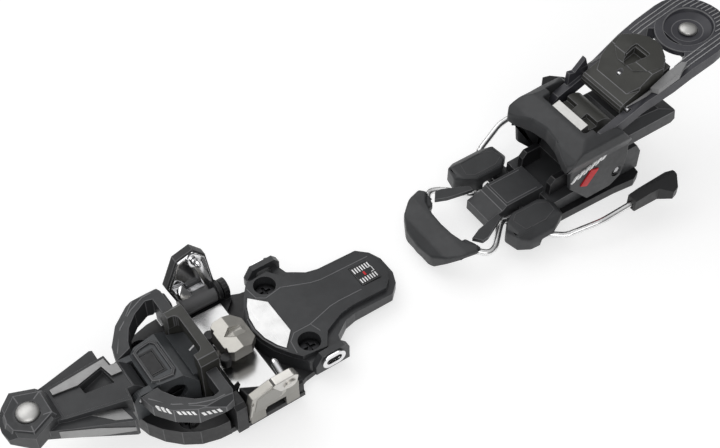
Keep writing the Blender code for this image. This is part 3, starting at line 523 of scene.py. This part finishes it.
def near_arm():
    """The left arm: a front block, a rear block round the pin, a web, a spine and two feet."""
    side, body = 1, "arm_left"
    front = [(19.8, 9), (19.6, 34.6), (8.6, 40.2), (2, 40.6), (-1, 33), (-1.4, 21), (2, 16.5),
             (8.5, 16.5), (9.4, 10.5)]
    shape = prism(arm_loop(side, front, 0), arm_loop(side, front, 4.8))
    block = add_piece("near_arm_front", shape, "cast", body, 0.45)
    rear = [(9, 39.4), (7.2, 41.6), (-3.4, 41.6), (-6.4, 38), (-6.6, 29.5), (-3.5, 26.5), (3, 28)]
    shape = prism(arm_loop(side, rear, -0.9), arm_loop(side, rear, 4.4))
    # The rear block takes the lighter copy of the cast alloy, a painted highlight
    add_piece("near_arm_rear", shape, "cast_painted_highlight", body, 0.5)
    panel = [(17.4, 11.5), (17.2, 32.6), (8.6, 37.4), (1.4, 31), (1.0, 22), (4, 18.6), (10.6, 18.6),
             (11.4, 12.5)]
    shape = prism(arm_loop(side, panel, 0.4), arm_loop(side, inset(panel, 0.5), -0.5))
    # The panel takes the darker copy of the cast alloy, painted shade
    add_piece("near_arm_panel", shape, "cast_painted_shade", body, 0.2)
    near_arm_boss(side, body)
    near_arm_feet(body)
    strap = [(20.0, 9.4), (20.0, 28.4), (18.4, 30.4), (18.2, 9.4)]
    shape = prism(arm_loop(side, strap, 0.2), arm_loop(side, inset(strap, 0.3), -1.0))
    add_piece("near_arm_strap", shape, "cast", body, 0.2)
    web = hull([
        (19.2, 45.0, 33.4), (11, 45.0, 36.6), (19.2, 42, 20), (11, 41.5, 20), (18.6, 30.4, 13.5),
        (13.5, 31.4, 13.5), (17.6, 30.6, 22.6), (15.6, 32, 21.4), (17.4, 37, 25),
    ])
    add_piece("near_arm_web", web, "black", body, 0.6)
    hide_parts("arm_left")


def near_arm_boss(side, body):
    """The boss at the pin's outer end, with a groove between its middle and its rim."""
    middle, groove, rim, foot = 1.0, 0.6, 1.2, -1.0
    profile = [(0, middle), (1.4, middle), (1.7, groove), (2.3, groove), (3.1, rim), (3.5, 0.9),
               (3.6, foot), (0, foot)]
    outwards = (0, 0.97, -0.243)
    boss = lathe(profile, arm_place(side, -1.6, 33.5, -0.8), outwards, 28)
    # The boss takes the lighter copy of the cast alloy, a painted highlight
    add_piece("near_arm_boss", boss, "cast_painted_highlight", body, 0.08, ROUND)


def near_arm_feet(body):
    """The two feet, solid where the axle runs through them, and the spine that joins them."""
    # The feet and the spine take the darker copy of the cast alloy, painted shade
    for name, start, end in (("front", 10.6, 19.6), ("rear", -9.6, -1.6)):
        foot = hull([
            (x, y, z) for x in (start, end)
            for y, z in ((33.6, 9.2), (33.6, 15.6), (37, 17.8), (44.2, 20), (45.0, 8.4))
        ])
        add_piece(f"near_arm_foot_{name}", foot, "cast_painted_shade", body, 0.5)
    spine = hull([
        (x, y, z) for x in (-9.4, 19.4)
        for y, z in ((39.5, 15.4), (38.6, 19), (40.8, 24), (45.2, 24), (44.6, 15.4))
    ])
    add_piece("near_arm_spine", spine, "cast_painted_shade", body, 0.5)


def lever_cap():
    """The cap's facets, which fall from a raised rim to the seat of the button."""
    body = "front_lever"
    foot = [(128.2, 0), (127, 6.2), (117.3, 14.4), (103.2, 8.2), (103.2, -8.2), (117.3, -14.4),
            (127, -6.2)]
    rim = [(125.4, 0), (124.4, 5.2), (116.7, 12.0), (104.9, 7.0), (104.9, -7.0), (116.7, -12.0),
           (124.4, -5.2)]
    seat = [(121.6, 0), (120.4, 4.2), (116.2, 7.2), (109.2, 5.2), (109.2, -5.2), (116.2, -7.2),
            (120.4, -4.2)]
    rear, rear_height, run = 106, 46.5, 18.0  # the cap falls one millimetre for each run
    nose, nose_fall = 124, 0.9

    def top(x):
        return rear_height - (x - rear) / run

    shape = frame_ring(
        flat(rim, lambda x, y: top(x) + 1.0), flat(seat, lambda x, y: top(x) - 0.1),
        flat(foot, lambda x, y: top(x) - 1.6 - max(0, x - nose) * nose_fall),
        flat(seat, lambda x, y: top(x) - 1.2),
    )
    add_piece("lever_cap_facets", shape, "graphite", body, 0.3)


def flank_half(x):
    """Half the width of the front lever, which grows rearwards."""
    narrow_x, narrow_half, growth = 104, 14, 11 / 32
    return narrow_half + (narrow_x - x) * growth


def flank_top(x):
    """The height of the front lever's flanks, which slope down to its hinge."""
    rear_x, rear_height, slope = 70.5, 33, 0.186
    return rear_height + (x - rear_x) * slope


def lever_strips():
    """Metal strips on the lever's flanks, and a wing of the same metal on the left one."""
    body, sink, proud, edge = "front_lever", 0.4, 0.35, 0.12
    for name, side in SIDES.items():
        strip = [(106, 33.0), (90, 27.6), (72.3, 24.6), (72.3, 27.8), (88, 34.2), (106, 39.0)]
        inner = [(x, flank_half(x) * side - sink * side, z) for x, z in strip]
        outer = [(x, flank_half(x) * side + proud * side, z) for x, z in strip]
        add_piece(f"lever_strip_{name}", prism(inner, outer), "inlay", body, edge)
    wing = [(90, 11.0), (74, 15.6), (72.2, 23.6), (80, 20.6)]
    shape = prism(
        flat(wing, lambda x, y: flank_top(x) - 0.2),
        flat(wing, lambda x, y: flank_top(x) + proud),
    )
    add_piece("lever_wing", shape, "inlay", body, edge)


def loop_slashes():
    """Rows of slanted slashes on the three straight walls of the left loop."""
    level, lean_back, slash_height = 30.4, 1.4, 3.0
    walls = [((60, 23.3), (54, 31), 3, 0.0), ((53, 31.7), (44, 38), 4, 0.0),
             ((43, 38.3), (32, 42.2), 4, 1.6)]
    for wall, (start, end, count, drop) in enumerate(walls):
        way = Vector((end[0] - start[0], end[1] - start[1], 0)).normalized()
        outward = (-way.y, way.x, 0) if way.x > 0 else (way.y, -way.x, 0)
        low_start, low_end = Vector((*start, level - drop)), Vector((*end, level - drop))
        lean = way * -lean_back + Vector((0, 0, slash_height))
        patch = [low_start - way * -lean_back, low_end, low_end + lean,
                 low_start + way * lean_back + lean]
        for index, strip in enumerate(rows(patch, count, 0.6)):
            decal(f"loop_slash_{wall}_{index}", strip, outward, "white_print", "base", 0.5)


def scale_marks():
    """The ticks, the bracket and the pointer of the scale on the rear plate's tongue."""
    level, count, spacing, tick_width = 14.4, 7, 1.6, 0.7
    for row, (y, length) in enumerate(((-5.4, 3.6), (2.6, 3.2))):
        for index in range(count):
            x = -75.8 - index * spacing
            tick = [(x, y), (x, y + length), (x - tick_width, y + length), (x - tick_width, y)]
            decal(f"scale_tick_{row}_{index}", flat(tick, level), UP, "white_print", "base")
    bracket = [(-84.4, -1.9), (-86.3, -1.9), (-86.3, 1.5), (-84.4, 1.5)]
    crease("scale_bracket", flat(bracket, level), UP, "base", "white_print", 0.4)
    pointer = [(-80.0, -0.9), (-80.0, 1.8), (-81.2, 1.8), (-81.2, -0.9)]
    decal("scale_pointer", flat(pointer, level), UP, "red_print", "base")


def bridge_tick():
    """One light tick on the sloping top of the bridge."""
    rear_x, rear_height, rise, run = 20.5, 22.5, 6.5, 13.5
    tick = [(27.8, -0.8), (27.8, -1.8), (23.4, -4.8), (23.4, -3.8)]
    decal("bridge_tick", flat(tick, lambda x, y: rear_height + (x - rear_x) * rise / run),
          (-0.43, 0, 0.9), "white_print", "base")


def jaw_marks():
    """The slashes and the red mark on the left wall of the heel jaw."""
    wall, outward, sink = 25.6, (0, 1, 0), 1.0
    patch = [(-206, wall, 31.6), (-231, wall, 40), (-234, wall, 44.4), (-209, wall, 36)]
    for index, strip in enumerate(rows(patch, 6, 0.55)):
        decal(f"jaw_slash_{index}", strip, outward, "white_print", "heel_jaw", sink)
    mark = [(-214, wall, 25), (-219, wall, 22.5), (-226.5, wall, 33), (-220.5, wall, 35)]
    decal("jaw_mark", mark, outward, "red_print", "heel_jaw", sink)


def printed_marks():
    """Plain slashes and ticks where the real binding carries print."""
    loop_slashes()
    scale_marks()
    bridge_tick()
    jaw_marks()


def loop_top(x, y):
    """The height of a guard loop's upper face, in three stretches along the ski."""
    front_x, front_height, front_slope = 54, 34, 0.35
    middle_x, middle_rise = 36, 2.5
    rear_x, rear_height, rear_rise = 20, 35, 1.5
    if x > front_x:
        along = front_height - (x - front_x) * front_slope
    elif x > middle_x:
        along = front_height + (front_x - x) * middle_rise / (front_x - middle_x)
    else:
        along = rear_height + (x - rear_x) * rear_rise / (middle_x - rear_x)
    inner_y, inner_height, run = 33, 35, 6  # outwards from there it rises a millimetre for each run
    return min(along, inner_height + max(0, y - inner_y) / run)


def plate_top(x):
    """The height of the rear plate's upper face, which falls more steeply along its tongue."""
    front_x, front_height, front_slope = -5, 16.5, 0.025
    tongue_x, tongue_height, tongue_fall, tongue_run = -45, 15.5, 2.5, 53
    if x > tongue_x:
        return front_height - (front_x - x) * front_slope
    return tongue_height - (tongue_x - x) * tongue_fall / tongue_run


def plate_lines():
    """The raised lines on the rear plate, and the one along the badge, light grey as painted
    highlights.
    """
    routes = {
        "plate_line_left": [(-36.5, 13.5), (-52, 9.2), (-58, 8.6), (-73, 8.6)],
        "plate_line_right": [(-36.5, -16.5), (-52, -10.4), (-58, -9.2), (-89, -9.2)],
        "plate_pocket_left": [(-20.5, 25.6), (-21.6, 17.6), (-26, 13.6), (-36.5, 13.5), (-38.6, 20)],
        "plate_pocket_right": [(-20.5, -25.6), (-21.6, -17.6), (-26, -14.6), (-36.5, -16.5)],
    }
    for name, route in routes.items():
        crease(name, flat(route, lambda x, y: plate_top(x)), UP, "base")
    badge = [(-10.2, -8), (-9.6, 0), (-10.2, 8), (-13.4, 16), (-17.4, 21.2)]
    crease("plate_badge_line", flat(badge, lambda x, y: plate_top(x)), UP, "base", width=0.4)


def housing_rims():
    """The rims round the housing's panel and round its mode window."""
    rim = [(55.4, -10.6), (55.4, 10.6), (51.6, 12.6), (43.4, 13.6), (40.6, 10), (40.6, -10),
           (43.4, -13.6), (51.6, -12.6)]
    crest, foot = 34.9, 33.6
    shape = frame_ring(
        flat(inset(rim, 0.9), crest), flat(inset(rim, 2.2), crest),
        flat(rim, foot), flat(inset(rim, 2.6), foot),
    )
    add_piece("housing_rim", shape, "graphite", "base", 0.2)
    window = [(53.9, -6.9), (53.9, 6.9), (53.9, 7.0), (45.6, 7.0), (45.6, 6.9), (45.6, -6.9),
              (45.6, -7.0), (53.9, -7.0)]
    crest, foot, width = 34.1, 33.5, 0.9
    shape = frame_ring(
        flat(inset(window, -width), crest), flat(window, crest),
        flat(inset(window, -width), foot), flat(window, foot),
    )
    add_piece("window_rim", shape, "black", "base", 0.05)


def loop_lines():
    """The raised line along each guard loop's upper face, light grey as a painted highlight."""
    for name, side in SIDES.items():
        route = [(60.5, 16.4), (52.6, 27.8), (43, 34.4), (34.4, 38.0), (29, 38.2)]
        line = [(x, y * side, loop_top(x, y)) for x, y in route]
        crease(f"loop_line_{name}", line, UP, "base", "edge", 0.6)


def toe_lines():
    """The raised lines and rims on the rear plate, the housing and the loops."""
    plate_lines()
    housing_rims()
    loop_lines()


def gem():
    """The faceted stud in the pedal's recess."""
    foot, ridge = 22.6, 23.9
    shape = hull([
        (7.6, 0, foot), (3.3, 3.4, foot), (-4.2, 2.4, foot), (-4.2, -2.4, foot),
        (3.3, -3.4, foot), (3.0, 0.4, 24.6), (-2.4, 0.9, ridge), (-2.4, -0.9, ridge),
    ])
    add_piece("trigger_gem", shape, "cast", "trigger", 0.15)


def trigger_stops():
    """Two dark stops that reach up into the pedal's front corners."""
    radius, height, chamfer = 3.0, 6.2, 0.4
    profile = [(0, height), (radius - chamfer, height), (radius, height - chamfer), (radius, 0),
               (0, 0)]
    for name, side in SIDES.items():
        stop = lathe(profile, (12.6, 8.6 * side, 13.4), UP, 24)
        add_piece(f"trigger_stop_{name}", stop, "black", "toe_slide", 0.1, ROUND)


# Heel unit details


def lever_top(x):
    """The height of the heel lever's upper face."""
    points = [(-332, 83), (-316, 82.5), (-290, 76.5), (-262, 66)]
    for (x0, z0), (x1, z1) in zip(points, points[1:]):
        if x0 <= x <= x1:
            return z0 + (z1 - z0) * (x - x0) / (x1 - x0)
    return points[-1][1]


def circle(centre, radius, steps=48):
    """A circle from above, about a place on the centre line."""
    return [
        (centre + radius * math.cos(2 * math.pi * step / steps),
         radius * math.sin(2 * math.pi * step / steps))
        for step in range(steps)
    ]


DISH_X, DISH_OPENING = -309, 14.2  # the thumb dish of the heel lever


def lever_ring():
    """A raised ring that narrows the thumb dish."""
    radius, taper, proud, depth = 19.4, 1.5, 0.12, 3.4
    outer, inner = circle(DISH_X, radius), circle(DISH_X, DISH_OPENING)
    lower = circle(DISH_X, DISH_OPENING - taper)
    shape = frame_ring(
        flat(outer, lambda x, y: lever_top(x) + proud),
        flat(inner, lambda x, y: lever_top(x) + proud),
        flat(outer, lambda x, y: lever_top(x) - depth),
        flat(lower, lambda x, y: lever_top(x) - depth),
    )
    add_piece("lever_dish_ring", shape, "bluish", "heel_lever", 0.5)


def lever_ribs():
    """Fine grip ribs along the ski, from the lever's round end to the dish or past it, light grey as
    painted highlights on their crests.
    """
    count, spacing, half, steps = 9, 2.7, 0.34, 6
    end_x, end_radius, front_x = -306, 24.6, -284.0
    opening = DISH_OPENING + 1.2
    shortest, sink, proud, taper = 2, 0.3, 0.5, 0.6
    for index in range(-count, count + 1):
        y = index * spacing
        if abs(y) >= end_radius - 0.6:
            continue
        rear = end_x - math.sqrt(end_radius**2 - y**2) + 0.4
        front = front_x
        if abs(y) < opening:
            front = DISH_X - math.sqrt(opening**2 - y**2)
        if front - rear < shortest:
            continue
        spine = [rear + (front - rear) * step / steps for step in range(steps + 1)]
        foot = [(x, y - half, lever_top(x) - sink) for x in spine]
        foot += [(x, y + half, lever_top(x) - sink) for x in reversed(spine)]
        crest = [(x, y - half * taper, lever_top(x) + proud) for x in spine]
        crest += [(x, y + half * taper, lever_top(x) + proud) for x in reversed(spine)]
        add_piece(f"lever_rib_{index + count}", prism(foot, crest), "rib", "heel_lever", 0.06)


def lever_lines():
    """A light line along each side of the lever's neck."""
    for name, side in SIDES.items():
        route = [(x, 19.4 * side, lever_top(x)) for x in (-246, -262, -274, -282)]
        crease(f"lever_line_{name}", route, (0.35, 0, 1), "heel_lever", "light", 0.4)


def aid_facets():
    """The crown of facets on the climbing aid, round its recess."""
    crown = [(-282, 0), (-281.4, 4.6), (-278, 11), (-272.6, 15.6), (-265.5, 12.6), (-262, 6),
             (-262, -6), (-265.5, -12.6), (-272.6, -15.6), (-278, -11), (-281.4, -4.6)]
    recess = [(-273.4, 0), (-273.4, 2.6), (-273.4, 5.4), (-270, 5.6), (-264, 4.4), (-260.6, 1.2),
              (-260.6, -1.2), (-264, -4.4), (-270, -5.6), (-273.4, -5.4), (-273.4, -2.6)]
    ridge_x, ridge_height, front_slope, rear_slope, side_slope = -265, 79.0, 0.9, 0.12, 0.03
    overhang = 1.6

    def top(x):
        if x > ridge_x:
            return ridge_height - (x - ridge_x) * front_slope
        return ridge_height + (ridge_x - x) * rear_slope

    # The crown runs clockwise, so inset moves it outwards
    shape = frame_ring(
        flat(inset(crown, overhang), lambda x, y: top(x) + 0.9 - abs(y) * side_slope),
        flat(recess, lambda x, y: top(x) + 1.3),
        flat(crown, lambda x, y: top(x) - 0.9), flat(recess, lambda x, y: top(x) - 0.6),
    )
    add_piece("climbing_aid_crown", shape, "olive", "climbing_aid", 0.25)


def carriage_lines():
    """Raised lines on the carriage's channel and round its pads, lighter than the plastic as painted
    highlights.
    """
    body, channel_half, channel_top, pad_top = "heel_carriage", 8.2, 20, 21.5
    front_x, rear_x = -174.5, -196.5
    pad = [(-168, 21.5), (-170, 30.6), (-184, 31), (-192.6, 28), (-193.6, 22), (-187, 18.6),
           (-172, 18.6), (-168, 21.5)]
    for name, side in SIDES.items():
        route = [(front_x, channel_half * side), (rear_x, channel_half * side)]
        crease(f"channel_line_{name}", flat(route, channel_top), UP, body)
        route = [(x, y * side) for x, y in pad]
        crease(f"pad_line_{name}", flat(route, pad_top), UP, body, "edge_dark", 0.4)
    route = [(front_x, -channel_half), (front_x, channel_half)]
    crease("channel_front_line", flat(route, channel_top), UP, body)


def jaw_bars():
    """Two dark bars across the hood of the heel jaw."""
    radius, half, chamfer = 1.4, 16.4, 0.4
    profile = [(0, half), (radius - chamfer, half), (radius, half - chamfer),
               (radius, chamfer - half), (radius - chamfer, -half), (0, -half)]
    for index, x in enumerate((-221.5, -225.5)):
        bar = lathe(profile, (x, 0, 49.5 - index * 3), (0, 1, 0), 16)
        add_piece(f"roller_bar_{index}", bar, "black", "heel_jaw", 0.05, ROUND)


far_arm()
near_arm()
lever_cap()
lever_strips()
printed_marks()
toe_lines()
gem()
trigger_stops()
lever_ring()
lever_ribs()
lever_lines()
aid_facets()
carriage_lines()
jaw_bars()


# Studio; lengths are in metres from here on

MIDDLE = (-0.1, 0, 0.03)  # the binding's middle, which the lights face


def camera():
    """The camera stands above and in front of the binding's left side."""
    azimuth, elevation = math.radians(145.455), math.radians(49.24)
    back = Vector((
        math.sin(azimuth) * math.cos(elevation),
        -math.cos(azimuth) * math.cos(elevation),
        math.sin(elevation),
    ))
    data = bpy.data.cameras.new("camera")
    data.sensor_width = 36
    data.lens = 63.9
    data.clip_start = 0.01
    seen = bpy.data.objects.new("camera", data)
    bpy.context.scene.collection.objects.link(seen)
    seen.location = (0.17098, 0.36153, 0.5665)
    seen.rotation_mode = "QUATERNION"
    seen.rotation_quaternion = (-back).to_track_quat("-Z", "Y")
    bpy.context.scene.camera = seen


def area(name, place, target, size, power):
    """A rectangular light, in metres and watts, that faces its target."""
    data = bpy.data.lights.new(name, "AREA")
    data.shape = "RECTANGLE"
    data.size, data.size_y = size
    data.energy = power
    light = bpy.data.objects.new(name, data)
    bpy.context.scene.collection.objects.link(light)
    light.location = place
    way = Vector(place) - Vector(target)
    light.rotation_mode = "QUATERNION"
    light.rotation_quaternion = way.to_track_quat("Z", "Y")


def floor():
    """A wide floor just under the bases, which glows a little so that it renders white."""
    half_width, gap, glow = 4, 0.0004, 0.62
    mesh = bpy.data.meshes.new("floor")
    shape = bmesh.new()
    bmesh.ops.create_grid(shape, x_segments=1, y_segments=1, size=half_width)
    shape.to_mesh(mesh)
    shape.free()
    ground = bpy.data.objects.new("floor", mesh)
    ground.location = (MIDDLE[0], MIDDLE[1], -gap)
    bpy.context.scene.collection.objects.link(ground)
    graph = Graph("floor_white")
    tone = graph.shade(graph.noise(size=200, detail=2), dark=(0.50,) * 3, light=(0.52,) * 3)
    graph.link(tone, graph.shader.inputs["Base Color"])
    graph.shader.inputs["Roughness"].default_value = 0.95
    graph.shader.inputs["Emission Color"].default_value = (1, 1, 1, 1)
    graph.shader.inputs["Emission Strength"].default_value = glow
    ground.data.materials.append(graph.material)


def surroundings():
    """A grey world that lightens upwards."""
    world = bpy.data.worlds.new("studio")
    world.use_nodes = True
    tree = world.node_tree
    back = tree.nodes["Background"]
    place = tree.nodes.new("ShaderNodeTexCoord")
    split = tree.nodes.new("ShaderNodeSeparateXYZ")
    ramp = tree.nodes.new("ShaderNodeValToRGB")
    tree.links.new(place.outputs["Generated"], split.inputs[0])
    tree.links.new(split.outputs["Z"], ramp.inputs["Fac"])
    tree.links.new(ramp.outputs["Color"], back.inputs["Color"])
    stops = ramp.color_ramp.elements
    stops[0].position, stops[0].color = 0.0, (0.05, 0.05, 0.05, 1)
    stops[1].position, stops[1].color = 1.0, (0.85, 0.85, 0.86, 1)
    for position, value in ((0.25, 0.12), (0.5, 0.30), (0.8, 0.62)):
        stop = stops.new(position)
        stop.color = (value, value, value, 1)
    back.inputs["Strength"].default_value = 0.9
    bpy.context.scene.world = world


def studio():
    """The floor, the world, and a large soft light from the right with a fill from the left."""
    floor()
    surroundings()
    area("key", (0.2, -0.95, 1.15), MIDDLE, (2.0, 1.3), 9.5)
    area("fill", (0.5, 0.85, 0.75), MIDDLE, (1.1, 0.8), 4.5)


camera()
studio()

bpy.context.scene.view_settings.view_transform = "Standard"

bpy.context.view_layer.update()
